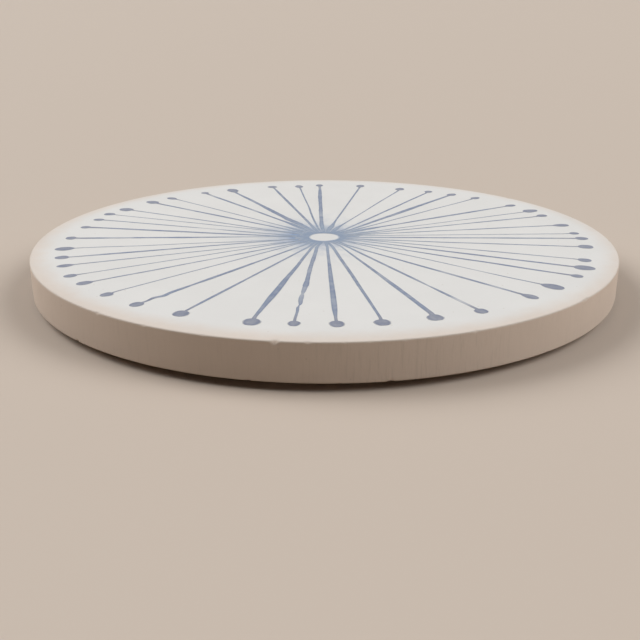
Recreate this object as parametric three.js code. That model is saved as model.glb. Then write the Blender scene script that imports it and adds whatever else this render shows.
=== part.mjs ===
// A round absorbent drink coaster: a fired, unglazed ceramic disc with an inked starburst on its
// top face, standing on a cork pad that a thin film of adhesive holds to its underside.
// Millimetres, +Z up. The origin is the middle of the pad's underside and -Y is the front.
import * as THREE from "three";

// Ceramic disc
const DISC_DIAMETER = 101.6;
const DISC_THICKNESS = 5.8;
const TOP_EDGE_RADIUS = 0.25;
const BOTTOM_EDGE_RADIUS = 0.2;

// Cork pad and the adhesive film above it, both cut to one outline inside the disc's edge
const PAD_INSET = 4.8;
const PAD_THICKNESS = 1.05;
const FILM_THICKNESS = 0.15;

// Inked starburst: a hub ring with a bare middle, and strokes that each end in a dot
const INK_THICKNESS = 0.03;
const PRINT_BORDER = 3.0;
const SIDE_REACH = 1.5;
const HUB_CLEAR_RADIUS = 2.65;
const HUB_RING_NARROWEST = 0.9;
const HUB_RING_WIDEST = 2.9;
const STROKE_ROOT_LENGTH = 1.5;
const STROKE_AT_HUB = 0.4;
const STROKE_THINNEST = 0.28;
const STROKE_THICKEST = 1.06;
const STROKE_AT_DOT = 0.5;
const VALLEY_WIDTH = 0.06;
const DOT_LIP_SMALLEST = 0.6;
const DOT_LIP_LARGEST = 1.1;
const DOT_DISTANCE_SPREAD = 0.5;
const AIM_ERROR = 0.8;

// Hand-drawn spread of the strokes: turns, shares of their even spacing, the side towards which the
// hub ring is wider, and the seed of the scatter that each trait is drawn from
const SPOKE_COUNT = 43;
const FIRST_SPOKE_DEGREES = 3.0;
const SPOKE_UNEVENNESS = 0.34;
const SIDE_CROWDING_RATIO = 1.15;
const HUB_LEAN_DEGREES = -115;
const HUB_LEAN_RATIO = 0.22;
const PLACE_SEED = 321129;
const WIDTH_SEED = 2260483;
const DOT_SIZE_SEED = 714056;
const DOT_DISTANCE_SEED = 144;
const VALLEY_SEED = 227968;
const AIM_SEED = 837621;

// Facets of the round shapes
const ROUND_SEGMENTS = 120;
const EDGE_STEPS = 4;
const DOT_STEPS = 8;
const HUB_SEGMENTS = 32;

// Heights and radii that follow from the sizes above
const discRadius = DISC_DIAMETER / 2;
const padRadius = discRadius - PAD_INSET;
const filmBase = PAD_THICKNESS;
const discBase = filmBase + FILM_THICKNESS;
const printBase = discBase + DISC_THICKNESS;
const largestDotRadius = STROKE_AT_DOT / 2 + DOT_LIP_LARGEST;
const printRadius = discRadius - TOP_EDGE_RADIUS - PRINT_BORDER;
const dotCircleRadius = printRadius - largestDotRadius - DOT_DISTANCE_SPREAD - SIDE_REACH;

// A solid of revolution about Z, from a profile of (radius, height) points that runs from the
// axis at the bottom, out and up, and back to the axis at the top.
function turned(profile) {
  const geometry = new THREE.LatheGeometry(profile, ROUND_SEGMENTS);
  return geometry.rotateX(Math.PI / 2);
}

// Points of a quarter-round edge about a centre, from one direction to another.
function quarterRound(centreRadius, centreHeight, edgeRadius, fromAngle) {
  const points = [];
  for (let step = 0; step <= EDGE_STEPS; step++) {
    const angle = fromAngle + (step / EDGE_STEPS) * (Math.PI / 2);
    points.push(
      new THREE.Vector2(
        centreRadius + edgeRadius * Math.cos(angle),
        centreHeight + edgeRadius * Math.sin(angle),
      ),
    );
  }
  return points;
}

// The ceramic disc, with both edges eased and a ring of points round the bare middle of the print.
function discGeometry() {
  const bottomEdge = quarterRound(
    discRadius - BOTTOM_EDGE_RADIUS,
    BOTTOM_EDGE_RADIUS,
    BOTTOM_EDGE_RADIUS,
    -Math.PI / 2,
  );
  const topEdge = quarterRound(
    discRadius - TOP_EDGE_RADIUS,
    DISC_THICKNESS - TOP_EDGE_RADIUS,
    TOP_EDGE_RADIUS,
    0,
  );
  return turned([
    new THREE.Vector2(0, 0),
    ...bottomEdge,
    ...topEdge,
    new THREE.Vector2(HUB_CLEAR_RADIUS, DISC_THICKNESS),
    new THREE.Vector2(0, DISC_THICKNESS),
  ]);
}

// A plain round sheet with square-cut edges.
function sheetGeometry(radius, thickness) {
  return turned([
    new THREE.Vector2(0, 0),
    new THREE.Vector2(radius, 0),
    new THREE.Vector2(radius, thickness),
    new THREE.Vector2(0, thickness),
  ]);
}

// A steady scatter from 0 to 1: one index and one seed always give one value.
function scatter(index, seed) {
  const wave = Math.sin(index * 12.9898 + seed * 78.233) * 43758.5453;
  return wave - Math.floor(wave);
}

// The same scatter from -1 to 1.
function spread(index, seed) {
  return 2 * scatter(index, seed) - 1;
}

// A size between two limits, nearer the lower one more often than not.
function mostlySmall(smallest, largest, index, seed) {
  return THREE.MathUtils.lerp(smallest, largest, scatter(index, seed) ** 2);
}

// One stroke and its dot. The angle runs from the front, -Y, towards +X. The strokes stand closer
// together and reach a little further at the sides than at the front and back. A stroke is aimed a
// little beside the middle, by a length that is positive towards the next stroke.
function spokeAt(index) {
  const evenTurn = (2 * Math.PI) / SPOKE_COUNT;
  const place = index + SPOKE_UNEVENNESS * spread(index, PLACE_SEED);
  const turn = THREE.MathUtils.degToRad(FIRST_SPOKE_DEGREES) + evenTurn * place;
  const angle = Math.atan2(SIDE_CROWDING_RATIO * Math.sin(turn), Math.cos(turn));
  const sideReach = SIDE_REACH * Math.sin(angle) ** 2;
  const distanceSpread = DOT_DISTANCE_SPREAD * spread(index, DOT_DISTANCE_SEED);
  return {
    angle,
    halfWidth: mostlySmall(STROKE_THINNEST, STROKE_THICKEST, index, WIDTH_SEED) / 2,
    dotRadius:
      STROKE_AT_DOT / 2 + mostlySmall(DOT_LIP_SMALLEST, DOT_LIP_LARGEST, index, DOT_SIZE_SEED),
    dotDistance: dotCircleRadius + sideReach + distanceSpread,
    aim: AIM_ERROR * spread(index, AIM_SEED),
  };
}

// A point given along a spoke and across it, towards the next spoke.
function onSpoke(spoke, along, across) {
  const sine = Math.sin(spoke.angle);
  const cosine = Math.cos(spoke.angle);
  return new THREE.Vector2(along * sine + across * cosine, across * sine - along * cosine);
}

// Where a stroke parts from the next one: the angle midway between the two, and the distance from
// the middle, which is greater on the side towards which the hub ring is wider.
function valleyAfter(spoke, next, index) {
  const turn = THREE.MathUtils.euclideanModulo(next.angle - spoke.angle, 2 * Math.PI);
  const angle = spoke.angle + turn / 2;
  const lean = 1 + HUB_LEAN_RATIO * Math.cos(angle - THREE.MathUtils.degToRad(HUB_LEAN_DEGREES));
  const share = scatter(index, VALLEY_SEED);
  const ringWidth = THREE.MathUtils.lerp(HUB_RING_NARROWEST, HUB_RING_WIDEST, share) * lean;
  const roomRadius = (STROKE_AT_HUB + VALLEY_WIDTH) / turn;
  return { angle, radius: Math.max(HUB_CLEAR_RADIUS + ringWidth, roomRadius) };
}

// A corner of a valley: 1 is the one towards the next stroke and -1 the one before it.
function valleyCorner(valley, side) {
  const angle = valley.angle + (side * VALLEY_WIDTH) / 2 / valley.radius;
  return new THREE.Vector2(valley.radius * Math.sin(angle), -valley.radius * Math.cos(angle));
}

// A stroke's outline from the valley before it to the valley after it: out along one side, round the
// dot, and back along the other side.
function spokeOutline(spoke, before, after) {
  const middle = (HUB_CLEAR_RADIUS + spoke.dotDistance) / 2;
  const aside = spoke.aim * (1 - middle / spoke.dotDistance);
  const joinAngle = Math.PI - Math.asin(STROKE_AT_DOT / 2 / spoke.dotRadius);
  const points = [
    valleyCorner(before, 1),
    onSpoke(spoke, before.radius + STROKE_ROOT_LENGTH, -STROKE_AT_HUB / 2),
    onSpoke(spoke, middle, aside - spoke.halfWidth),
  ];
  for (let step = 0; step <= DOT_STEPS; step++) {
    const angle = joinAngle * ((2 * step) / DOT_STEPS - 1);
    const along = spoke.dotDistance + spoke.dotRadius * Math.cos(angle);
    points.push(onSpoke(spoke, along, spoke.dotRadius * Math.sin(angle)));
  }
  points.push(onSpoke(spoke, middle, aside + spoke.halfWidth));
  points.push(onSpoke(spoke, after.radius + STROKE_ROOT_LENGTH, STROKE_AT_HUB / 2));
  points.push(valleyCorner(after, -1));
  return points;
}

// The whole print as one outline round all the strokes, with the hub's bare middle cut out.
function printGeometry() {
  const spokes = Array.from({ length: SPOKE_COUNT }, (_, index) => spokeAt(index));
  const valleys = spokes.map((spoke, index) =>
    valleyAfter(spoke, spokes[(index + 1) % SPOKE_COUNT], index),
  );
  const outline = spokes.flatMap((spoke, index) =>
    spokeOutline(spoke, valleys.at(index - 1), valleys[index]),
  );
  const shape = new THREE.Shape(outline);
  const bareMiddle = new THREE.Path();
  bareMiddle.absarc(0, 0, HUB_CLEAR_RADIUS, 0, 2 * Math.PI, true);
  shape.holes.push(bareMiddle);
  return new THREE.ExtrudeGeometry(shape, {
    depth: INK_THICKNESS,
    bevelEnabled: false,
    curveSegments: HUB_SEGMENTS,
  });
}

// A named piece that stands on a given height.
function piece(name, geometry, base, color, roughness) {
  const material = new THREE.MeshStandardMaterial({ color, roughness, metalness: 0 });
  const mesh = new THREE.Mesh(geometry, material);
  mesh.name = name;
  mesh.position.z = base;
  return mesh;
}

const coaster = new THREE.Group();
coaster.add(
  piece("cork_pad", sheetGeometry(padRadius, PAD_THICKNESS), 0, 0xb88c5e, 0.9),
  piece("adhesive_film", sheetGeometry(padRadius, FILM_THICKNESS), filmBase, 0xdcd6c6, 0.5),
  piece("ceramic_disc", discGeometry(), discBase, 0xdedcd7, 0.85),
  piece("printed_starburst", printGeometry(), printBase, 0x8a919e, 0.8),
);

export default coaster;
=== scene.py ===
"""Looks of a round absorbent drink coaster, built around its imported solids.

The scene is in metres, +Z up, in the part's own frame: -Y is the front, which faces the camera.
Named sizes are in millimetres, scales of noise are per millimetre, and colours are written as sRGB
values from 0 to 255.
"""
import math

import bpy
import numpy as np
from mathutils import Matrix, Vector, noise


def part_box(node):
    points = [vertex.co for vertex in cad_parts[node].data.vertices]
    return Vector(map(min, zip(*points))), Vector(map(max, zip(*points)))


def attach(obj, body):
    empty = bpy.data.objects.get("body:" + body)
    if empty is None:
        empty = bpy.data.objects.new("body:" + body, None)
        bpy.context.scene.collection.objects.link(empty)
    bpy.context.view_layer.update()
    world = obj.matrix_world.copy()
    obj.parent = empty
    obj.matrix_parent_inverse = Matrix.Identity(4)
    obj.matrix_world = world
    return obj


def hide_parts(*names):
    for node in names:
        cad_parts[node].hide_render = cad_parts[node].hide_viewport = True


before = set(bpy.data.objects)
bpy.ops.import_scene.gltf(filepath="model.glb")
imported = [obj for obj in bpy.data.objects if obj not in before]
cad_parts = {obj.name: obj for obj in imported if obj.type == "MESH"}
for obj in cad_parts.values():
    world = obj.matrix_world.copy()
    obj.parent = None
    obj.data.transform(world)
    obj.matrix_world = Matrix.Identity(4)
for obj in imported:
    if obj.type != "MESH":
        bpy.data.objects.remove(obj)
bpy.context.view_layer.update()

MM = 0.001

# Sizes that the solids give, in millimetres
disc_low, disc_high = (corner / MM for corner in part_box("ceramic_disc"))
pad_low, pad_high = (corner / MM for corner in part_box("cork_pad"))
film_low, film_high = (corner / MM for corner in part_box("adhesive_film"))
print_low, print_high = (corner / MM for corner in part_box("printed_starburst"))
disc_radius = disc_high.x
pad_radius = pad_high.x
top_height = disc_high.z

# Camera, found from the ellipses of the disc's edges in the photograph
CAMERA_PLACE = (0.0, -155.54, 49.09)
CAMERA_DEPRESSION_DEGREES = 20.46
CAMERA_TURN_DEGREES = 0.27
CAMERA_LENS = 50.1
CAMERA_SENSOR = 36.0
CAMERA_CLIP_START_M = 0.01

# Ceramic disc: its eased edges, the steps of its mesh, and rings of points at distances in from its edge
TOP_EDGE_RADIUS = 0.22
BOTTOM_EDGE_RADIUS = 0.16
DISC_SEGMENTS = 1200
EDGE_STEPS = 5
SIDE_ROWS = 24
UNDERSIDE_RING_INSETS = (32.8, 16.8, 6.8, 2.8, 0.8, 0.3)
TOP_RING_INSETS = (0.3, 0.5, 1.0, 2.4, 5.8, 14.8, 26.8, 38.8, 45.8)

# Rim: a slow wander and upright tool marks, which are deeper on one marked stretch and in patches.
# Rates say how fast the noise runs round the rim, per radius or, for the marks, per millimetre. Leans
# say how fast it runs up the rim.
RIM_WANDER = 0.05
RIM_WANDER_RATE = 2.1
RIM_WANDER_LEAN = 0.05
RIM_MARK_DEPTH = 0.03
RIM_MARK_FAINTEST = 0.1
RIM_MARK_RATE = 2.3
RIM_MARK_LEAN = 0.22
RIM_PATCH_RATE = 4.3
RIM_PATCH_LAYER = 5.0
RIM_PATCH_EDGE = 0.5
RIM_PATCH_DEPTH = 0.5
MARKED_DEGREES = 15.0
MARKED_REACH_DEGREES = 16.0

# Chips along both edges of the disc
CHIP_COUNT = 80
CHIP_SHORTEST = 0.2
CHIP_LONGEST = 0.7
CHIP_SHALLOWEST = 0.14
CHIP_DEEPEST = 0.4
CHIP_TOP_SHARE = 0.6
CHIP_PLACE_SEED = 11
CHIP_LENGTH_SEED = 12
CHIP_CUT_SEED = 13
CHIP_SIDE_SEED = 14

# Chips that the photograph shows: degrees from the front, half length, cut, and whether on top
FRONT_CHIPS = (
    (-7.1, 0.60, 0.62, True),
    (-2.3, 0.50, 0.34, True),
    (9.9, 0.55, 0.40, False),
    (11.9, 0.35, 0.30, True),
    (16.7, 0.30, 0.26, True),
    (23.3, 0.50, 0.36, True),
)

# Inked starburst, laid out as in the solid
SOLID_EDGE_RADIUS = 0.25
PRINT_BORDER = 3.0
SIDE_REACH = 1.5
HUB_CLEAR_RADIUS = 2.65
HUB_RING_NARROWEST = 0.9
HUB_RING_WIDEST = 2.9
HUB_LEAN_DEGREES = -115.0
HUB_LEAN_RATIO = 0.22
VALLEY_WIDTH = 0.06
STROKE_AT_HUB = 0.4
STROKE_THINNEST = 0.28
STROKE_THICKEST = 1.06
STROKE_AT_DOT = 0.5
DOT_LIP_SMALLEST = 0.6
DOT_LIP_LARGEST = 1.1
DOT_DISTANCE_SPREAD = 0.5
AIM_ERROR = 0.8
SPOKE_COUNT = 43
FIRST_SPOKE_DEGREES = 3.0
SPOKE_UNEVENNESS = 0.34
SIDE_CROWDING_RATIO = 1.15
PLACE_SEED = 321129
WIDTH_SEED = 2260483
DOT_SIZE_SEED = 714056
DOT_DISTANCE_SEED = 144
VALLEY_SEED = 227968
AIM_SEED = 837621

# Rows of points along a stroke, and columns across it with the ink's cover and height on each.
# Higher powers crowd more of the rows towards the middle. The edges thin out over a few opening rows,
# before and after the foot.
HUB_ROWS = 6
HUB_ROW_POWER = 2
STROKE_ROWS = 90
STROKE_ROW_POWER = 1.3
DOT_ROWS = 16
DOT_FIRST_ROW = 0.3
EDGE_OPENING_ROWS = 2
INK_COLUMNS = (0.0, 0.1, 0.32, 0.68, 0.9, 1.0)
INK_COLUMN_COVER = (0.2, 1.0, 0.88, 0.88, 1.0, 0.2)
INK_COLUMN_HEIGHT = (0.4, 0.85, 1.0, 1.0, 0.85, 0.4)
INK_LEAST_HALF = 0.05

# Hand-drawn detail of the hub's ring and of the strokes, from root to neck
HUB_SHARE_OF_GAP = 0.45
HUB_EDGE_WOBBLE = 0.16
HUB_EDGE_RATE = 1.7
HUB_EDGE_LAYER = 9.0
ROOT_SHORTEST = 0.9
ROOT_LONGEST = 5.0
LONG_ROOT_RARITY = 3
ROOT_SEED = 20
ROOT_SLIMMEST = 0.36
FULLNESS_SEED = 3278441
WIDEST_NEAREST = 0.45
WIDEST_FURTHEST = 0.95
WIDEST_SEED = 2174304
NECK_SLIMMEST = 0.4
NECK_SEED = 2783712
NECK_FLARE = 0.05
NECK_FLARE_LENGTH = 0.8
AIM_START = 3.0
AIM_FULL = 7.0
AIM_END = 43.0
STROKE_WANDER = 0.25
WANDER_SEED = 726463
WANDER_START_LENGTH = 8.0
STROKE_WOBBLE = 0.45
WOBBLE_SEED = 391780

# Lengths at which a stroke's width varies, the strength of each, and the noise's step between strokes
STROKE_GRAINS = ((10.0, 1.0), (2.4, 0.5), (0.8, 0.3))
STROKE_GRAIN_STEP = 7.3

# Worn ink: distances from the middle between which a stroke starts to wear, and how unevenly it fades
WORN_START = 10.0
WORN_FULL = 16.0
WORN_END_LENGTH = 1.5
STROKE_FADING = 0.7
FADING_SEED = 29
FADED_PATCH_EDGE = 0.5
COVER_UNEVENNESS = 0.12

# Noise along the strokes: its rate along them, its step from stroke to stroke, and its layer
WANDER_NOISE = (0.11, 5.7, 2.0)
FADING_NOISE = (0.16, 4.7, 8.0)
COVER_NOISE = (0.5, 1.9, 5.0)
BLOT_NOISE = (0.8, 2.3, 3.0)
DOT_NOISE = (0.9, 2.9, 4.0)

# Strokes that a shaky hand drew: where the line thins, or swells if the share is below zero, given
# as distance from the middle, reach and share
UNEVEN_SPOTS = {
    3: ((32.0, 2.5, 0.4),),
    39: ((34.0, 1.8, 0.3),),
    42: ((27.5, 3.0, -0.35), (31.9, 0.6, 0.45), (34.5, 1.6, -0.35), (37.1, 0.5, 0.7)),
}

# Shaky strokes that slip sideways: the slip's distance from the middle, and its size
SLIPS = {39: (41.0, 0.6), 42: (37.1, 0.25)}
SLIP_REACH = 1.2

# Strokes that ran at their root: the blot's distance from the middle, its reach and its half width
BLOTS = {
    14: (7.5, 3.0, 0.3),
    15: (8.0, 4.0, 0.4),
    16: (7.0, 2.5, 0.25),
    19: (6.5, 2.5, 0.3),
    20: (6.0, 3.5, 0.4),
    21: (7.0, 3.5, 0.25),
    24: (10.0, 6.0, 0.6),
    25: (8.0, 4.0, 0.55),
    26: (7.0, 2.5, 0.35),
}
BLOT_RAGGEDNESS = 0.35

# Dots: their lean, how far their two ends are drawn out, in dot radii, and how sharp those ends are
DOT_LEAN = 0.3
LEAN_LEAD = 1.0
LEAN_SEED = 17726
DOT_SHORTEST = 0.9
DOT_LONGEST = 1.8
DOT_SHARPNESS = (0.4, 0.8)
DOT_LENGTH_SEED = 1203182
TIP_SHORTEST = 0.9
TIP_LONGEST = 1.6
TIP_SHARPNESS = (0.36, 0.55)
TIP_SEED = 1843005
DOT_FILLET = 0.25
DOT_ROUGHNESS = 0.1

# Cork pad and adhesive film. Their plain faces have one ring of points inside the edge, at this share
# of the radius.
SHEET_INNER_RING = 0.5
PAD_SEGMENTS = 480
PAD_RINGS = 56
PAD_SIDE_ROWS = 6
GRAIN_SIZE = 1.5
GRAIN_GAP_SHARE = 0.28
GRAIN_RELIEF = 0.05
GRAIN_EDGE_RELIEF = 0.22
FILM_SEGMENTS = 480
FILM_EDGE_WANDER = 0.25
FILM_EDGE_RATE = 9

# Noise of the materials: scale, detail, and roughness where it isn't the usual one
MOTTLE_NOISE = (0.09, 4.0)
BORDER_NOISE = (0.35, 3.0)
MARK_NOISE = (1.0, 2.0)
FAINT_MARK_NOISE = (0.07, 2.0)
FINE_NOISE = (2.2, 3.0)
WASH_NOISE = (0.7, 4.0)
FIBRE_NOISE = (3.0, 4.0, 0.6)
FILM_NOISE = (0.25, 3.0)

# Limits of noise between which a surface goes from its smoothest to its roughest
NOISE_LIMITS = (0.2, 0.8)

# Clay: tones of its mottling, and depths below the top between which it turns to the top's white
MOTTLE_DARKEST = 0.95
MOTTLE_RANGE = 0.10
TOP_FACE_DEPTHS = (0.2, 0.02)
CERAMIC_ROUGHNESS = (0.72, 0.9)
CLAY_SPECULAR = 0.3

# Warm border of the top face: it is widest at the front and narrowest at the back
BORDER_WIDTH = 5.0
BORDER_WHITENESS = 0.33
BORDER_LEAN = (-0.008, -0.02, 0.0)
BORDER_NARROWING = 1.0
BORDER_RAGGEDNESS = 2.4

# Dark streaks of the rim's tool marks
MARK_STRETCH = (3.2, 3.2, 0.25)
STREAK_LIMITS = (0.5, 0.72)
MARK_STRENGTH = 0.2
FAINT_MARK_LIMITS = (0.4, 0.6)
FAINT_MARK_STRENGTHS = (0.04, 0.12)

# Specks of the clay: about one cell in four holds one
SPECK_SCALE = 0.55
SPECK_EDGE = (0.03, 0.11)
SPECK_CHOICE = (0.72, 0.76)
SPECK_STRENGTH = 0.4

# Ink that soaked into the clay round the hub. The noise of its rays runs over directions, not places.
BLEED_START = 4.1
BLEED_SHORTEST = 2.4
BLEED_LONGEST = 4.8
BLEED_LEAN = 2.0
BLEED_IN_MIDDLE = 0.05
BLEED_EDGE_OFFSETS = (-0.3, 0.2)
RAY_NOISE = (7.0, 3.0)
RAY_LIMITS = (0.35, 0.65)

# Ink: distances from the middle between which its blue fades and its dots' colour starts, and its wash
BLUE_FADE = (6.0, 16.0)
DOT_INK_START = (40.0, 43.0)
WASH_LEAST = 0.75
WASH_RANGE = 0.5
INK_ROUGHNESS = (0.68, 0.86)

# Cork and film
CORK_FIBRE_TONE = 0.5
CORK_GRAIN_TONE = 0.6
CORK_GAP_WIDTH = 0.09
CORK_GAP_DARKNESS = 0.75
CORK_ROUGHNESS = (0.78, 0.95)
FILM_ROUGHNESS = (0.35, 0.55)

# Fine relief of the surfaces: strength and height
CERAMIC_RELIEF = (0.25, 0.05)
INK_RELIEF = (0.2, 0.04)
CORK_RELIEF = (0.4, 0.08)

# Colours
CERAMIC_WHITE = (220, 218, 215)
# The clay's own warm cream, darkened and warmed by painted shade and warm bounce light for the rim
CLAY_CREAM_AND_SHADE = (212, 195, 180)
CERAMIC_SPECK = (182, 168, 152)
INK_DOT = (126, 131, 148)
INK_STROKE = (123, 134, 157)
INK_BLUE = (138, 151, 171)
INK_BLEED = (138, 154, 180)
CORK_LIGHT = (205, 166, 118)
CORK_DARK = (134, 92, 56)
CORK_GAP = (74, 48, 30)
FILM_MILKY = (224, 217, 200)
FILM_YELLOWED = (206, 194, 166)
FLOOR_PALE = (198, 184, 171)
BACKDROP_PALE = (224, 226, 223)

# Floor, a hair below the pad so that their faces don't coincide
FLOOR_HALF_WIDTH_M = 6.0
FLOOR_CLEARANCE = 0.01
FLOOR_ROUGHNESS = 0.9
FLOOR_SPECULAR = 0.2

# Light: levels of the dome and where it changes from front to back, the two glows' directions as turns
# from the front and heights, and the cosine of the angle at which a glow ends
LIGHT_IN_FRONT = 0.01
LIGHT_BEHIND = 0.2
DOME_LIMITS = (-0.32, 0.39)
RIGHT_GLOW_LEVEL = 5.2
RIGHT_GLOW_DEGREES = (87.0, 41.0)
LEFT_GLOW_LEVEL = 5.9
LEFT_GLOW_DEGREES = (-112.0, 41.0)
GLOW_EDGE = 0.87


def linear(colour):
    """An sRGB colour from 0 to 255 as a linear RGBA colour."""
    def channel(value):
        share = value / 255
        return share / 12.92 if share <= 0.04045 else ((share + 0.055) / 1.055) ** 2.4
    return (*(channel(value) for value in colour), 1.0)


def lerp(low, high, share):
    return low + (high - low) * share


def smoothstep(low, high, value):
    share = min(max((value - low) / (high - low), 0.0), 1.0)
    return share * share * (3 - 2 * share)


def scatter(index, seed):
    """A steady scatter from 0 to 1, the same as in the solid."""
    wave = math.sin(index * 12.9898 + seed * 78.233) * 43758.5453
    return wave - math.floor(wave)


def spread(index, seed):
    """The same scatter from -1 to 1."""
    return 2 * scatter(index, seed) - 1


def mostly_small(smallest, largest, index, seed):
    """A size between two limits, nearer the lower one more often than not."""
    return lerp(smallest, largest, scatter(index, seed) ** 2)


def ripple(*place):
    """Smooth noise from about -1 to 1 at a point given by up to three numbers."""
    return noise.noise(Vector((*place, 0.0, 0.0)[:3]))


def ring_ripple(angle, rate, layer=0.0):
    """The same noise round a circle, on a layer of it."""
    return ripple(math.sin(angle) * rate, math.cos(angle) * rate, layer)


def as_share(value):
    """A value from -1 to 1 as a share from 0 to 1."""
    return 0.5 + 0.5 * value


def add_piece(name, points, faces, node, material):
    """A mesh from points in millimetres, which rides on the part and stands for one of its nodes."""
    mesh = bpy.data.meshes.new(name)
    mesh.from_pydata(np.asarray(points) * MM, [], faces)
    mesh.validate()
    mesh.shade_smooth()
    mesh.materials.append(material)
    piece = bpy.data.objects.new(name, mesh)
    bpy.context.scene.collection.objects.link(piece)
    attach(piece, "root")
    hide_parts(node)
    return piece


def turned_faces(rows, segments):
    """Faces of a closed body of rows rings, each of as many points, between two points on the axis.
    The points run row by row, and the lower and upper axis points come last."""
    faces = []
    low_pole = rows * segments
    high_pole = low_pole + 1
    last = (rows - 1) * segments
    for column in range(segments):
        beside = (column + 1) % segments
        faces.append((low_pole, beside, column))
        for row in range(rows - 1):
            base = row * segments
            faces.append(
                (base + column, base + beside, base + segments + beside, base + segments + column)
            )
        faces.append((high_pole, last + column, last + beside))
    return faces


def turned_points(radius, height, angle):
    """Points of rings given as arrays by row and column, with a point on the axis at each end."""
    rings = np.stack([radius * np.sin(angle), -radius * np.cos(angle), height], axis=-1)
    poles = [(0.0, 0.0, height[0].min()), (0.0, 0.0, height[-1].max())]
    return np.concatenate([rings.reshape(-1, 3), poles])


def even_angles(segments):
    """Angles from the front, -Y, towards +X."""
    return np.linspace(0, 2 * math.pi, segments, endpoint=False)


# Ceramic disc


def disc_profile():
    """(radius, height) of the disc's rings, from the underside, round the rim, to the top's middle."""
    low, high = disc_low.z, disc_high.z
    rings = [(disc_radius - inset, low) for inset in UNDERSIDE_RING_INSETS]
    for step in range(EDGE_STEPS + 1):
        turn = math.pi / 2 * step / EDGE_STEPS
        inset = BOTTOM_EDGE_RADIUS * (1 - math.sin(turn))
        rings.append((disc_radius - inset, low + BOTTOM_EDGE_RADIUS * (1 - math.cos(turn))))
    wall_low = low + BOTTOM_EDGE_RADIUS
    wall_high = high - TOP_EDGE_RADIUS
    for row in range(1, SIDE_ROWS):
        rings.append((disc_radius, lerp(wall_low, wall_high, row / SIDE_ROWS)))
    for step in range(EDGE_STEPS + 1):
        turn = math.pi / 2 * step / EDGE_STEPS
        inset = TOP_EDGE_RADIUS * (1 - math.cos(turn))
        rings.append((disc_radius - inset, wall_high + TOP_EDGE_RADIUS * math.sin(turn)))
    rings += [(disc_radius - inset, high) for inset in TOP_RING_INSETS]
    return np.array(rings)


def rim_inset(angle, height):
    """How far the rim lies inside its true radius: a slow wander and fine upright tool marks."""
    wander = RIM_WANDER * as_share(ring_ripple(angle, RIM_WANDER_RATE, height * RIM_WANDER_LEAN))
    facing = math.cos(angle - math.radians(MARKED_DEGREES))
    marked = smoothstep(math.cos(math.radians(MARKED_REACH_DEGREES)), 1.0, facing)
    patch = smoothstep(0.0, RIM_PATCH_EDGE, ring_ripple(angle, RIM_PATCH_RATE, RIM_PATCH_LAYER))
    depth = RIM_MARK_DEPTH * lerp(RIM_MARK_FAINTEST, 1.0, max(marked, RIM_PATCH_DEPTH * patch))
    mark = ring_ripple(angle, disc_radius * RIM_MARK_RATE, height * RIM_MARK_LEAN)
    return wander + depth * as_share(mark)


def all_chips():
    """(angle, half length, cut, on top) of each chip along the disc's two edges."""
    chips = [(math.radians(turn), *rest) for turn, *rest in FRONT_CHIPS]
    for index in range(CHIP_COUNT):
        turn = 2 * math.pi * scatter(index, CHIP_PLACE_SEED)
        length = mostly_small(CHIP_SHORTEST, CHIP_LONGEST, index, CHIP_LENGTH_SEED)
        cut = mostly_small(CHIP_SHALLOWEST, CHIP_DEEPEST, index, CHIP_CUT_SEED)
        on_top = scatter(index, CHIP_SIDE_SEED) < CHIP_TOP_SHARE
        chips.append((turn, length, cut, on_top))
    return chips


def chip_edges(radius, height, angle):
    """Cuts small facets off the disc's edges, in place."""
    for turn, length, cut, on_top in all_chips():
        offset = (angle - turn + math.pi) % (2 * math.pi) - math.pi
        near = np.clip(1 - (offset * disc_radius / length) ** 2, 0, None)
        up = 1 if on_top else -1
        corner = disc_radius + up * (disc_high.z if on_top else disc_low.z)
        excess = np.clip(radius + up * height - (corner - cut * near), 0, None)
        excess = np.where(near > 0, excess, 0)
        radius -= excess / 2
        height -= up * excess / 2


def ceramic_disc(material):
    profile = disc_profile()
    angle = np.broadcast_to(even_angles(DISC_SEGMENTS), (len(profile), DISC_SEGMENTS))
    radius = np.repeat(profile[:, :1], DISC_SEGMENTS, axis=1)
    height = np.repeat(profile[:, 1:], DISC_SEGMENTS, axis=1)
    first = len(UNDERSIDE_RING_INSETS)
    last = len(profile) - len(TOP_RING_INSETS)
    for row in range(first, last):
        rim_share = smoothstep(disc_radius - TOP_EDGE_RADIUS, disc_radius, profile[row, 0])
        for column in range(DISC_SEGMENTS):
            inset = rim_inset(angle[row, column], profile[row, 1])
            radius[row, column] -= rim_share * inset
    chip_edges(radius, height, angle)
    points = turned_points(radius, height, angle)
    faces = turned_faces(len(profile), DISC_SEGMENTS)
    add_piece("ceramic_body", points, faces, "ceramic_disc", material)


# Inked starburst


def smooth_max(first, second, blend):
    """The larger of two lengths, rounded where they are alike."""
    near = max(blend - abs(first - second), 0.0) / blend
    return max(first, second) + near * near * blend / 4


def spoke_angle(index):
    """A spoke's angle from the front, -Y, towards +X."""
    place = index + SPOKE_UNEVENNESS * spread(index, PLACE_SEED)
    turn = math.radians(FIRST_SPOKE_DEGREES) + 2 * math.pi / SPOKE_COUNT * place
    return math.atan2(SIDE_CROWDING_RATIO * math.sin(turn), math.cos(turn))


def gap_after(index):
    """The turn from a spoke to the next one."""
    return (spoke_angle((index + 1) % SPOKE_COUNT) - spoke_angle(index)) % (2 * math.pi)


def valley_after(index):
    """How far from the middle a spoke and the next one part: further where the hub leans."""
    gap = gap_after(index)
    bisector = spoke_angle(index) + gap / 2
    lean = 1 + HUB_LEAN_RATIO * math.cos(bisector - math.radians(HUB_LEAN_DEGREES))
    ring = lerp(HUB_RING_NARROWEST, HUB_RING_WIDEST, scatter(index, VALLEY_SEED)) * lean
    return max(HUB_CLEAR_RADIUS + ring, (STROKE_AT_HUB + VALLEY_WIDTH) / gap)


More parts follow.
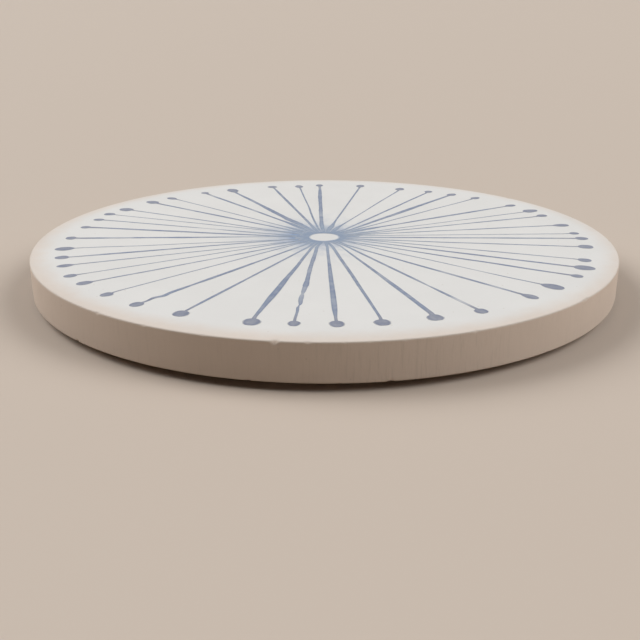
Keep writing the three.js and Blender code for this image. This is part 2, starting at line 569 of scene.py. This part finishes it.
def aim_error(index):
    """How far beside the middle a stroke is aimed, towards the next spoke."""
    return AIM_ERROR * spread(index, AIM_SEED)


def aim_share(along):
    """How much of its aim's error a stroke shows: none in the hub's ring and none at its dot."""
    return smoothstep(AIM_START, AIM_FULL, along) * max(1 - along / AIM_END, 0.0)


class Spoke:
    """One stroke and its dot, laid out as in the solid, with the traits of a hand-drawn line.
    Pairs hold the side towards the spoke before and the side towards the spoke after."""

    def __init__(self, index):
        before = (index - 1) % SPOKE_COUNT
        after = (index + 1) % SPOKE_COUNT
        self.index = index
        self.aim = aim_error(index)
        self.shared_aims = [(self.aim + aim_error(beside)) / 2 for beside in (before, after)]
        self.angle = spoke_angle(index)
        self.gaps = gap_after(before), gap_after(index)
        self.valleys = valley_after(before), valley_after(index)
        self.feet = [
            valley * math.sin(gap / 2) - VALLEY_WIDTH / 2
            for valley, gap in zip(self.valleys, self.gaps)
        ]
        self.set_line()
        self.set_dot()

    def set_line(self):
        index = self.index
        self.half_width = mostly_small(STROKE_THINNEST, STROKE_THICKEST, index, WIDTH_SEED) / 2
        self.root_half = lerp(ROOT_SLIMMEST / 2, self.half_width, scatter(index, FULLNESS_SEED))
        self.neck_half = lerp(NECK_SLIMMEST / 2, self.half_width, scatter(index, NECK_SEED))
        self.widest = lerp(WIDEST_NEAREST, WIDEST_FURTHEST, scatter(index, WIDEST_SEED))
        long_root = scatter(index, ROOT_SEED) ** LONG_ROOT_RARITY
        self.root_length = lerp(ROOT_SHORTEST, ROOT_LONGEST, long_root)
        self.wander = STROKE_WANDER * scatter(index, WANDER_SEED)
        self.wobble = STROKE_WOBBLE * scatter(index, WOBBLE_SEED)
        self.fading = mostly_small(0.0, STROKE_FADING, index, FADING_SEED)

    def set_dot(self):
        index = self.index
        largest_dot = STROKE_AT_DOT / 2 + DOT_LIP_LARGEST
        print_radius = disc_radius - SOLID_EDGE_RADIUS - PRINT_BORDER
        circle = print_radius - largest_dot - DOT_DISTANCE_SPREAD - SIDE_REACH
        side_reach = SIDE_REACH * math.sin(self.angle) ** 2
        distance_spread = DOT_DISTANCE_SPREAD * spread(index, DOT_DISTANCE_SEED)
        lip = mostly_small(DOT_LIP_SMALLEST, DOT_LIP_LARGEST, index, DOT_SIZE_SEED)
        stretch = scatter(index, DOT_LENGTH_SEED) ** 2
        tip = scatter(index, TIP_SEED)
        self.dot_distance = circle + side_reach + distance_spread
        self.dot_radius = STROKE_AT_DOT / 2 + lip
        self.neck = self.dot_distance - self.dot_radius * lerp(DOT_SHORTEST, DOT_LONGEST, stretch)
        self.end = self.dot_distance + self.dot_radius * lerp(TIP_SHORTEST, TIP_LONGEST, tip)
        self.sharpness = lerp(*DOT_SHARPNESS, stretch), lerp(*TIP_SHARPNESS, tip)
        self.lean = DOT_LEAN * spread(index, LEAN_SEED)

    def place(self, along, across):
        """A point along the spoke and across it, towards the next spoke."""
        sine, cosine = math.sin(self.angle), math.cos(self.angle)
        return along * sine + across * cosine, across * sine - along * cosine

    def ripple_along(self, along, pattern, side=1):
        """Noise of the stroke's own, from about -1 to 1. Where a side is given, each has its own."""
        rate, step, layer = pattern
        return ripple(along * rate, self.index * step, side * layer)

    def slip(self, along):
        """How far a shaky line slips aside: towards the next spoke, and then back past its axis."""
        if self.index not in SLIPS:
            return 0.0
        distance, size = SLIPS[self.index]
        past = (along - distance) / SLIP_REACH
        return -size * past * math.exp(-past * past)

    def grain(self, along):
        """How a hand-drawn line's width varies along it, at several scales, from about -1 to 1."""
        return sum(
            strength * ripple(along / length, self.index * STROKE_GRAIN_STEP)
            for length, strength in STROKE_GRAINS
        )

    def line_half_width(self, along):
        """Half the line's width: it swells from the hub, flares into its dot and stops inside it."""
        start = min(self.valleys)
        share = min(max((along - start) / (self.neck - start), 0.0), 1.0)
        half = lerp(self.root_half, self.half_width, smoothstep(0.0, self.widest, share))
        half = lerp(half, self.neck_half, smoothstep(self.widest, 1.0, share))
        half *= 1 + self.wobble * self.grain(along)
        half += NECK_FLARE * math.exp(min(along - self.neck, 0.0) / NECK_FLARE_LENGTH)
        for distance, reach, loss in UNEVEN_SPOTS.get(self.index, ()):
            half *= 1 - loss * math.exp(-((along - distance) / reach) ** 2)
        stopped = smoothstep(self.dot_distance - self.dot_radius / 2, self.dot_distance, along)
        return lerp(half, -self.dot_radius, stopped)

    def blot_half_width(self, along, side):
        """How far ink that ran from the hub widens the line on one side."""
        if self.index not in BLOTS:
            return 0.0
        distance, reach, half_width = BLOTS[self.index]
        ragged = 1 + BLOT_RAGGEDNESS * self.ripple_along(along, BLOT_NOISE, side)
        return half_width * ragged * math.exp(-((along - distance) / reach) ** 2)

    def dot_half_width(self, along, side):
        """Half the dot's width, or less than nothing outside it: a drop that may be drawn out."""
        inner = along < self.dot_distance
        length = self.dot_distance - self.neck if inner else self.end - self.dot_distance
        share = abs(along - self.dot_distance) / length
        if share >= 1:
            return (1 - share) * length
        edge = 1 + DOT_ROUGHNESS * self.ripple_along(along, DOT_NOISE, side)
        return self.dot_radius * (1 - share * share) ** self.sharpness[0 if inner else 1] * edge

    def axis_offset(self, along):
        """How far the line's middle strays from the spoke's axis."""
        free = smoothstep(self.valleys[0], self.valleys[0] + WANDER_START_LENGTH, along)
        stray = self.wander * self.ripple_along(along, WANDER_NOISE)
        lean = self.lean * smoothstep(self.neck - LEAN_LEAD, self.dot_distance, along)
        return aim_share(along) * self.aim + free * (stray + lean + self.slip(along))

    def edge(self, side, along):
        """Where the ink ends on one side of the spoke's axis, short of the next spoke's ink."""
        line = self.line_half_width(along)
        root = (self.feet[side] - line) * math.exp((self.valleys[side] - along) / self.root_length)
        blot = self.blot_half_width(along, side)
        dot = self.dot_half_width(along, side)
        half = max(smooth_max(line + root + blot, dot, DOT_FILLET), INK_LEAST_HALF)
        offset = self.axis_offset(along)
        border = aim_share(along) * self.shared_aims[side]
        room = along * math.sin(self.gaps[side] / 2) - VALLEY_WIDTH / 2
        return min(offset + half, border + room) if side else max(offset - half, border - room)

    def cover(self, along):
        """How much ink lies along the line: full at the root and in the dot, worn in between."""
        before_dot = 1 - smoothstep(self.neck - WORN_END_LENGTH, self.neck, along)
        worn = smoothstep(WORN_START, WORN_FULL, along) * before_dot
        patch = smoothstep(0.0, FADED_PATCH_EDGE, self.ripple_along(along, FADING_NOISE))
        uneven = COVER_UNEVENNESS * self.ripple_along(along, COVER_NOISE)
        return 1 - worn * (self.fading * patch + uneven)

    def row(self, share):
        """Points across the stroke at a share of the way from its two valleys to its neck."""
        ends = [lerp(valley, self.neck, share) for valley in self.valleys]
        return self.row_between(ends)

    def row_between(self, ends):
        """Points across the stroke, from a distance on its first side to one on its second."""
        points = []
        for share in INK_COLUMNS:
            along = lerp(*ends, share)
            edges = [self.edge(side, along) for side in (0, 1)]
            points.append(self.place(along, lerp(*edges, share)))
        return points

    def hub_row(self, share):
        """Points across the spoke's part of the hub ring, from the bare middle to its foot."""
        foot = self.row(0.0)
        points = []
        for column, outer in zip(INK_COLUMNS, foot):
            turn = lerp(-self.gaps[0], self.gaps[1], column) * HUB_SHARE_OF_GAP
            angle = self.angle + turn
            wobble = HUB_EDGE_WOBBLE * ring_ripple(angle, HUB_EDGE_RATE, HUB_EDGE_LAYER)
            radius = HUB_CLEAR_RADIUS + wobble
            inner = radius * math.sin(angle), -radius * math.cos(angle)
            points.append(tuple(lerp(a, b, share) for a, b in zip(inner, outer)))
        return points

    def rows(self):
        """All rows of points, from the bare middle to the dot's end, and the ink's cover on each."""
        rows = []
        for step in range(HUB_ROWS):
            share = (step / HUB_ROWS) ** HUB_ROW_POWER
            rows.append((self.hub_row(share), 1.0))
        for step in range(STROKE_ROWS):
            share = (step / STROKE_ROWS) ** STROKE_ROW_POWER
            rows.append((self.row(share), self.cover(lerp(self.valleys[0], self.neck, share))))
        for step in range(DOT_ROWS):
            turn = math.pi * (step + DOT_FIRST_ROW) / DOT_ROWS
            along = lerp(self.neck, self.end, (1 - math.cos(turn)) / 2)
            rows.append((self.row_between((along, along)), self.cover(along)))
        return rows


def ink_points(rows_of_spokes):
    """Points and cover of every row: first its points on the ceramic, then those on the ink."""
    thickness = print_high.z - print_low.z
    points = []
    cover = []
    for rows in rows_of_spokes:
        for row, (places, ink) in enumerate(rows):
            open_edge = smoothstep(HUB_ROWS - EDGE_OPENING_ROWS, HUB_ROWS + EDGE_OPENING_ROWS, row)
            ends = row == 0 or row == len(rows) - 1
            share = INK_COLUMN_COVER[0] if ends else 1.0
            columns = [ink * share * lerp(1.0, value, open_edge) for value in INK_COLUMN_COVER]
            heights = [lerp(1.0, value, 1.0 if ends else open_edge) for value in INK_COLUMN_HEIGHT]
            points += [(x, y, print_low.z) for x, y in places]
            points += [(x, y, print_low.z + thickness * h) for (x, y), h in zip(places, heights)]
            cover += columns + columns
    return points, cover


def ink_faces(rows_of_spokes):
    """Faces of one closed layer of ink. Rows up to the foot also join the next spoke's."""
    width = len(INK_COLUMNS)
    edge = width - 1
    row_size = 2 * width
    starts = np.cumsum([0] + [len(rows) * row_size for rows in rows_of_spokes])
    faces = []

    def strip(start, beside, row, left, right):
        """The upper and lower face between two rows and two columns, which may be of two spokes."""
        low = start + row * row_size + left
        low_beside = beside + row * row_size + right
        high = low + width
        high_beside = low_beside + width
        faces.append((high_beside, high, high + row_size, high_beside + row_size))
        faces.append((low, low_beside, low_beside + row_size, low + row_size))

    def wall(first, second):
        """An upright face from one point on the ceramic to another."""
        faces.append((second, first, first + width, second + width))

    for spoke, rows in enumerate(rows_of_spokes):
        start = starts[spoke]
        beside = starts[(spoke + 1) % SPOKE_COUNT]
        last = len(rows) - 1
        foot_row = HUB_ROWS * row_size
        last_row = start + last * row_size
        for column in range(edge):
            for row in range(last):
                strip(start, start, row, column, column + 1)
            wall(start + column, start + column + 1)
            wall(last_row + column + 1, last_row + column)
        for row in range(HUB_ROWS):
            strip(start, beside, row, edge, 0)
        wall(start + edge, beside)
        wall(beside + foot_row, start + foot_row + edge)
        for row in range(HUB_ROWS, last):
            here = start + row * row_size
            wall(here + row_size, here)
            wall(here + edge, here + edge + row_size)
    return faces


def inked_starburst(material):
    rows_of_spokes = [Spoke(index).rows() for index in range(SPOKE_COUNT)]
    points, cover = ink_points(rows_of_spokes)
    faces = ink_faces(rows_of_spokes)
    piece = add_piece("inked_starburst", points, faces, "printed_starburst", material)
    attribute = piece.data.attributes.new("ink_cover", "FLOAT", "POINT")
    attribute.data.foreach_set("value", cover)


# Cork pad and adhesive film


def grain_gap(x, y, z):
    """How near a point lies to the gap between two cork grains, from 0 inside one to 1 in the gap."""
    distances, _ = noise.voronoi(Vector((x, y, z)) / GRAIN_SIZE)
    return 1 - smoothstep(0.0, GRAIN_GAP_SHARE, distances[1] - distances[0])


def pad_profile():
    """(radius, height, kind) of the pad's rings: underside, cut edge and upper face."""
    rings = []
    for ring in range(1, PAD_RINGS + 1):
        rings.append((pad_radius * ring / PAD_RINGS, pad_low.z, "under"))
    for row in range(1, PAD_SIDE_ROWS):
        rings.append((pad_radius, lerp(pad_low.z, pad_high.z, row / PAD_SIDE_ROWS), "edge"))
    rings.append((pad_radius, pad_high.z, "top"))
    rings.append((pad_radius * SHEET_INNER_RING, pad_high.z, "top"))
    return rings


def cork_pad(material):
    profile = pad_profile()
    turns = even_angles(PAD_SEGMENTS)
    angle = np.broadcast_to(turns, (len(profile), PAD_SEGMENTS))
    radius = np.empty(angle.shape)
    height = np.empty(angle.shape)
    for row, (ring, level, kind) in enumerate(profile):
        for column, turn in enumerate(turns):
            x, y = ring * math.sin(turn), -ring * math.cos(turn)
            gap = grain_gap(x, y, level)
            at_edge = ring == pad_radius
            radius[row, column] = ring - (GRAIN_EDGE_RELIEF * gap if at_edge else 0)
            height[row, column] = level + (GRAIN_RELIEF * gap if kind == "under" else 0)
    points = turned_points(radius, height, angle)
    faces = turned_faces(len(profile), PAD_SEGMENTS)
    add_piece("cork_backing", points, faces, "cork_pad", material)


def film_profile():
    """(share of the radius, height) of the film's rings, from its lower to its upper face."""
    low, high = film_low.z, film_high.z
    middle = (low + high) / 2
    inner = SHEET_INNER_RING
    return (inner, low), (1.0, low), (1.0, middle), (1.0, high), (inner, high)


def adhesive_film(material):
    shares, levels = zip(*film_profile())
    turns = even_angles(FILM_SEGMENTS)
    angle = np.broadcast_to(turns, (len(levels), FILM_SEGMENTS))
    wander = [FILM_EDGE_WANDER * as_share(ring_ripple(turn, FILM_EDGE_RATE)) for turn in turns]
    radius = np.outer(shares, pad_radius - np.array(wander))
    height = np.repeat(np.array(levels)[:, None], FILM_SEGMENTS, axis=1)
    points = turned_points(radius, height, angle)
    faces = turned_faces(len(levels), FILM_SEGMENTS)
    add_piece("adhesive_layer", points, faces, "adhesive_film", material)


# Materials


def join(tree, value, socket):
    """Sets a socket to a number or colour, or joins another node's output to it."""
    if isinstance(value, bpy.types.NodeSocket):
        tree.links.new(value, socket)
    else:
        socket.default_value = value


def add_node(tree, kind, inputs=None, **settings):
    """A node with its settings and its inputs."""
    node = tree.nodes.new(kind)
    for name, value in settings.items():
        setattr(node, name, value)
    for key, value in (inputs or {}).items():
        join(tree, value, node.inputs[key])
    return node


def math_node(tree, operation, *values):
    node = add_node(tree, "ShaderNodeMath", dict(enumerate(values)), operation=operation)
    return node.outputs[0]


def vector_node(tree, operation, *values, output="Vector"):
    node = add_node(tree, "ShaderNodeVectorMath", dict(enumerate(values)), operation=operation)
    return node.outputs[output]


def step_node(tree, value, low, high, to_low=0.0, to_high=1.0):
    """A smooth step of a value between two limits."""
    inputs = {"Value": value, "From Min": low, "From Max": high, "To Min": to_low, "To Max": to_high}
    node = add_node(tree, "ShaderNodeMapRange", inputs, interpolation_type="SMOOTHSTEP")
    return node.outputs["Result"]


def noise_node(tree, vector, scale, detail, roughness=0.55):
    inputs = {"Vector": vector, "Scale": scale, "Detail": detail, "Roughness": roughness}
    return add_node(tree, "ShaderNodeTexNoise", inputs).outputs["Fac"]


def mix_colours(tree, factor, first, second, blend="MIX"):
    node = add_node(tree, "ShaderNodeMix", data_type="RGBA", blend_type=blend)
    factor_socket, first_socket, second_socket = node.inputs[0], node.inputs[6], node.inputs[7]
    join(tree, factor, factor_socket)
    join(tree, first, first_socket)
    join(tree, second, second_socket)
    return node.outputs[2]


def new_material(name):
    """A material with one Principled shader: its node tree, that shader, and places in millimetres."""
    material = bpy.data.materials.new(name)
    material.use_nodes = True
    tree = material.node_tree
    tree.nodes.clear()
    shader = add_node(tree, "ShaderNodeBsdfPrincipled")
    output = add_node(tree, "ShaderNodeOutputMaterial")
    tree.links.new(shader.outputs["BSDF"], output.inputs["Surface"])
    coordinates = add_node(tree, "ShaderNodeTexCoord").outputs["Object"]
    place = vector_node(tree, "MULTIPLY", coordinates, (1 / MM,) * 3)
    return material, tree, shader, place


def flattened(tree, place):
    """A place without its height."""
    return vector_node(tree, "MULTIPLY", place, (1.0, 1.0, 0.0))


def distance_from_axis(tree, place):
    return vector_node(tree, "LENGTH", flattened(tree, place), output="Value")


def join_finish(tree, shader, colour, texture, roughness):
    """Joins a colour to the shader, and a roughness between two limits that follows a texture."""
    tree.links.new(colour, shader.inputs["Base Color"])
    rough = step_node(tree, texture, *NOISE_LIMITS, *roughness)
    tree.links.new(rough, shader.inputs["Roughness"])


def join_bump(tree, shader, height, strength, distance):
    inputs = {"Height": height, "Strength": strength, "Distance": distance * MM}
    bump = add_node(tree, "ShaderNodeBump", inputs)
    tree.links.new(bump.outputs["Normal"], shader.inputs["Normal"])


def cloudy(tree, place, colour):
    """A colour with a faint, slow mottling."""
    cloud = noise_node(tree, place, *MOTTLE_NOISE)
    tone = math_node(tree, "MULTIPLY_ADD", cloud, MOTTLE_RANGE, MOTTLE_DARKEST)
    grey = add_node(tree, "ShaderNodeCombineColor", {0: tone, 1: tone, 2: tone}).outputs[0]
    return mix_colours(tree, 1.0, colour, grey, "MULTIPLY")


def clay_colour(tree, place, upper):
    """Warm clay with a whiter top face, whose border fades unevenly towards the edge. On the rim, the
    clay's colour is partly its own warm cream and partly painted shade and warm bounce light, so it is
    darker and browner than the top.
    """
    ragged = noise_node(tree, place, *BORDER_NOISE)
    ragged = math_node(tree, "MULTIPLY_ADD", ragged, BORDER_RAGGEDNESS, -BORDER_RAGGEDNESS / 2)
    towards_front = vector_node(tree, "DOT_PRODUCT", place, BORDER_LEAN, output="Value")
    inside = math_node(tree, "ADD", distance_from_axis(tree, place), ragged)
    inside = math_node(tree, "ADD", inside, towards_front)
    limit = disc_radius + BORDER_NARROWING
    border = step_node(tree, inside, limit - BORDER_WIDTH, limit, 1.0, BORDER_WHITENESS)
    whiteness = math_node(tree, "MULTIPLY", upper, border)
    # The sides and the border take the clay colour that holds painted shade and warm bounce light; the
    # top face takes its white
    return mix_colours(tree, whiteness, linear(CLAY_CREAM_AND_SHADE), linear(CERAMIC_WHITE))


def mark_cover(tree, place):
    """How dark the upright marks are: faint all round the rim, and stronger on its marked stretch."""
    turn = math.radians(MARKED_DEGREES)
    towards = (math.sin(turn), -math.cos(turn), 0.0)
    outward = vector_node(tree, "NORMALIZE", flattened(tree, place))
    facing = vector_node(tree, "DOT_PRODUCT", outward, towards, output="Value")
    edge = math.cos(math.radians(MARKED_REACH_DEGREES))
    marked = step_node(tree, facing, edge, 1.0, 0.0, MARK_STRENGTH)
    patches = noise_node(tree, place, *FAINT_MARK_NOISE)
    faint = step_node(tree, patches, *FAINT_MARK_LIMITS, *FAINT_MARK_STRENGTHS)
    return math_node(tree, "ADD", marked, faint)


def speck_cover(tree, place):
    """Sparse small specks, from 0 to their faint strength."""
    cells = add_node(tree, "ShaderNodeTexVoronoi", {"Vector": place, "Scale": SPECK_SCALE})
    speck = step_node(tree, cells.outputs["Distance"], *SPECK_EDGE, 1.0, 0.0)
    chance = add_node(tree, "ShaderNodeSeparateColor", {0: cells.outputs["Color"]}).outputs[0]
    chosen = step_node(tree, chance, *SPECK_CHOICE, 0.0, SPECK_STRENGTH)
    return math_node(tree, "MULTIPLY", speck, chosen)


def hub_bleed(tree, place):
    """How much blue has soaked into the clay round the hub: in rays, further where the hub leans."""
    turn = math.radians(HUB_LEAN_DEGREES)
    shift = (-BLEED_LEAN * math.sin(turn), BLEED_LEAN * math.cos(turn), 0.0)
    shifted = distance_from_axis(tree, vector_node(tree, "ADD", place, shift))
    rays = noise_node(tree, vector_node(tree, "NORMALIZE", place), *RAY_NOISE)
    reach = step_node(tree, rays, *RAY_LIMITS, BLEED_SHORTEST, BLEED_LONGEST)
    beyond = math_node(tree, "MAXIMUM", math_node(tree, "SUBTRACT", shifted, BLEED_START), 0.0)
    faded = math_node(tree, "EXPONENT", math_node(tree, "DIVIDE", beyond, reach))
    inner, outer = (HUB_CLEAR_RADIUS + offset for offset in BLEED_EDGE_OFFSETS)
    share = step_node(tree, distance_from_axis(tree, place), inner, outer, BLEED_IN_MIDDLE, 1.0)
    return math_node(tree, "DIVIDE", share, faded)


def ceramic_material():
    """Unglazed fired clay: mottled, with specks, tool marks on the rim and ink soaked in at the hub."""
    material, tree, shader, place = new_material("unglazed_ceramic")
    height = add_node(tree, "ShaderNodeSeparateXYZ", {0: place}).outputs["Z"]
    body_height, white_height = (top_height - depth for depth in TOP_FACE_DEPTHS)
    upper = step_node(tree, height, body_height, white_height)
    side = math_node(tree, "SUBTRACT", 1.0, upper)
    marks = noise_node(tree, vector_node(tree, "MULTIPLY", place, MARK_STRETCH), *MARK_NOISE)
    fine = noise_node(tree, place, *FINE_NOISE)
    colour = cloudy(tree, place, clay_colour(tree, place, upper))
    streak = math_node(tree, "MULTIPLY", step_node(tree, marks, *STREAK_LIMITS), side)
    streak = math_node(tree, "MULTIPLY", streak, mark_cover(tree, place))
    colour = mix_colours(tree, streak, colour, linear(CERAMIC_SPECK))
    colour = mix_colours(tree, speck_cover(tree, place), colour, linear(CERAMIC_SPECK))
    soaked = math_node(tree, "MULTIPLY", hub_bleed(tree, place), upper)
    colour = mix_colours(tree, soaked, colour, linear(INK_BLEED))
    join_finish(tree, shader, colour, fine, CERAMIC_ROUGHNESS)
    shader.inputs["Specular IOR Level"].default_value = CLAY_SPECULAR
    relief = math_node(tree, "ADD", fine, math_node(tree, "MULTIPLY", marks, side))
    join_bump(tree, shader, relief, *CERAMIC_RELIEF)
    return material


def ink_material():
    """Slate ink soaked into the clay: bluer near the hub, darker in the dots, uneven like a wash."""
    material, tree, shader, place = new_material("soaked_ink")
    radius = distance_from_axis(tree, place)
    cover = add_node(tree, "ShaderNodeAttribute", attribute_name="ink_cover").outputs["Fac"]
    fine = noise_node(tree, place, *FINE_NOISE)
    line = mix_colours(tree, step_node(tree, radius, *BLUE_FADE), linear(INK_BLUE), linear(INK_STROKE))
    pigment = mix_colours(tree, step_node(tree, radius, *DOT_INK_START), line, linear(INK_DOT))
    wash = noise_node(tree, place, *WASH_NOISE)
    uneven = math_node(tree, "MULTIPLY_ADD", wash, WASH_RANGE, WASH_LEAST)
    amount = math_node(tree, "MULTIPLY", cover, uneven)
    colour = mix_colours(tree, amount, cloudy(tree, place, linear(CERAMIC_WHITE)), pigment)
    join_finish(tree, shader, colour, fine, INK_ROUGHNESS)
    shader.inputs["Specular IOR Level"].default_value = CLAY_SPECULAR
    join_bump(tree, shader, fine, *INK_RELIEF)
    return material


def cork_material():
    """Pressed cork: grains of several browns with dark gaps between them."""
    material, tree, shader, place = new_material("pressed_cork")
    grains = {"Vector": place, "Scale": 1 / GRAIN_SIZE}
    cells = add_node(tree, "ShaderNodeTexVoronoi", grains)
    edges = add_node(tree, "ShaderNodeTexVoronoi", grains, feature="DISTANCE_TO_EDGE")
    shade = add_node(tree, "ShaderNodeSeparateColor", {0: cells.outputs["Color"]}).outputs[0]
    shade = math_node(tree, "MULTIPLY", shade, CORK_GRAIN_TONE)
    fibre = noise_node(tree, place, *FIBRE_NOISE)
    grain = math_node(tree, "MULTIPLY_ADD", fibre, CORK_FIBRE_TONE, shade)
    colour = mix_colours(tree, grain, linear(CORK_DARK), linear(CORK_LIGHT))
    gap = step_node(tree, edges.outputs["Distance"], 0.0, CORK_GAP_WIDTH, CORK_GAP_DARKNESS, 0.0)
    colour = mix_colours(tree, gap, colour, linear(CORK_GAP))
    join_finish(tree, shader, colour, fibre, CORK_ROUGHNESS)
    join_bump(tree, shader, math_node(tree, "SUBTRACT", fibre, gap), *CORK_RELIEF)
    return material


def film_material():
    """A thin milky adhesive, yellowed in patches."""
    material, tree, shader, place = new_material("milky_adhesive")
    cloud = noise_node(tree, place, *FILM_NOISE)
    colour = mix_colours(tree, cloud, linear(FILM_MILKY), linear(FILM_YELLOWED))
    join_finish(tree, shader, colour, cloud, FILM_ROUGHNESS)
    return material


def floor_material():
    material, _, shader, _ = new_material("plain_floor")
    shader.inputs["Base Color"].default_value = linear(FLOOR_PALE)
    shader.inputs["Roughness"].default_value = FLOOR_ROUGHNESS
    shader.inputs["Specular IOR Level"].default_value = FLOOR_SPECULAR
    return material


# Stage, light and camera


def add_floor():
    half = FLOOR_HALF_WIDTH_M
    level = -FLOOR_CLEARANCE * MM
    mesh = bpy.data.meshes.new("floor")
    corners = [(-half, -half, level), (half, -half, level), (half, half, level), (-half, half, level)]
    mesh.from_pydata(corners, [], [(0, 1, 2, 3)])
    mesh.materials.append(floor_material())
    floor = bpy.data.objects.new("floor", mesh)
    bpy.context.scene.collection.objects.link(floor)


def glow(tree, direction, level, degrees):
    """A soft round patch of light, given by its turn from the front and its height."""
    turn, height = (math.radians(value) for value in degrees)
    flat = math.cos(height)
    towards = (flat * math.sin(turn), -flat * math.cos(turn), math.sin(height))
    facing = vector_node(tree, "DOT_PRODUCT", direction, towards, output="Value")
    return step_node(tree, facing, GLOW_EDGE, 1.0, 0.0, level)


def add_light():
    """A soft dome, dim in front of the part, with a glow on either side and a pale backdrop."""
    world = bpy.data.worlds.new("soft_studio")
    bpy.context.scene.world = world
    world.use_nodes = True
    tree = world.node_tree
    tree.nodes.clear()
    direction = add_node(tree, "ShaderNodeTexCoord").outputs["Generated"]
    behind = add_node(tree, "ShaderNodeSeparateXYZ", {0: direction}).outputs["Y"]
    level = step_node(tree, behind, *DOME_LIMITS, LIGHT_IN_FRONT, LIGHT_BEHIND)
    right = glow(tree, direction, RIGHT_GLOW_LEVEL, RIGHT_GLOW_DEGREES)
    left = glow(tree, direction, LEFT_GLOW_LEVEL, LEFT_GLOW_DEGREES)
    level = math_node(tree, "ADD", level, math_node(tree, "ADD", right, left))
    light = add_node(tree, "ShaderNodeBackground", {"Strength": level})
    light.inputs["Color"].default_value = (1.0, 1.0, 1.0, 1.0)
    seen = add_node(tree, "ShaderNodeBackground", {"Color": linear(BACKDROP_PALE), "Strength": 1.0})
    path = add_node(tree, "ShaderNodeLightPath").outputs
    mirrored = math_node(tree, "MAXIMUM", path["Is Glossy Ray"], path["Is Transmission Ray"])
    sees = math_node(tree, "MAXIMUM", path["Is Camera Ray"], mirrored)
    mixed = add_node(tree, "ShaderNodeMixShader", {0: sees, 1: light.outputs[0], 2: seen.outputs[0]})
    output = add_node(tree, "ShaderNodeOutputWorld")
    tree.links.new(mixed.outputs[0], output.inputs["Surface"])


def add_camera():
    data = bpy.data.cameras.new("camera")
    data.sensor_width = CAMERA_SENSOR
    data.lens = CAMERA_LENS
    data.clip_start = CAMERA_CLIP_START_M
    camera = bpy.data.objects.new("camera", data)
    camera.location = [MM * value for value in CAMERA_PLACE]
    tilt = math.radians(90 - CAMERA_DEPRESSION_DEGREES)
    camera.rotation_euler = (tilt, 0, math.radians(CAMERA_TURN_DEGREES))
    bpy.context.scene.collection.objects.link(camera)
    bpy.context.scene.camera = camera


add_camera()
cork_pad(cork_material())
adhesive_film(film_material())
ceramic_disc(ceramic_material())
inked_starburst(ink_material())
add_floor()
add_light()
bpy.context.scene.view_settings.view_transform = "Standard"
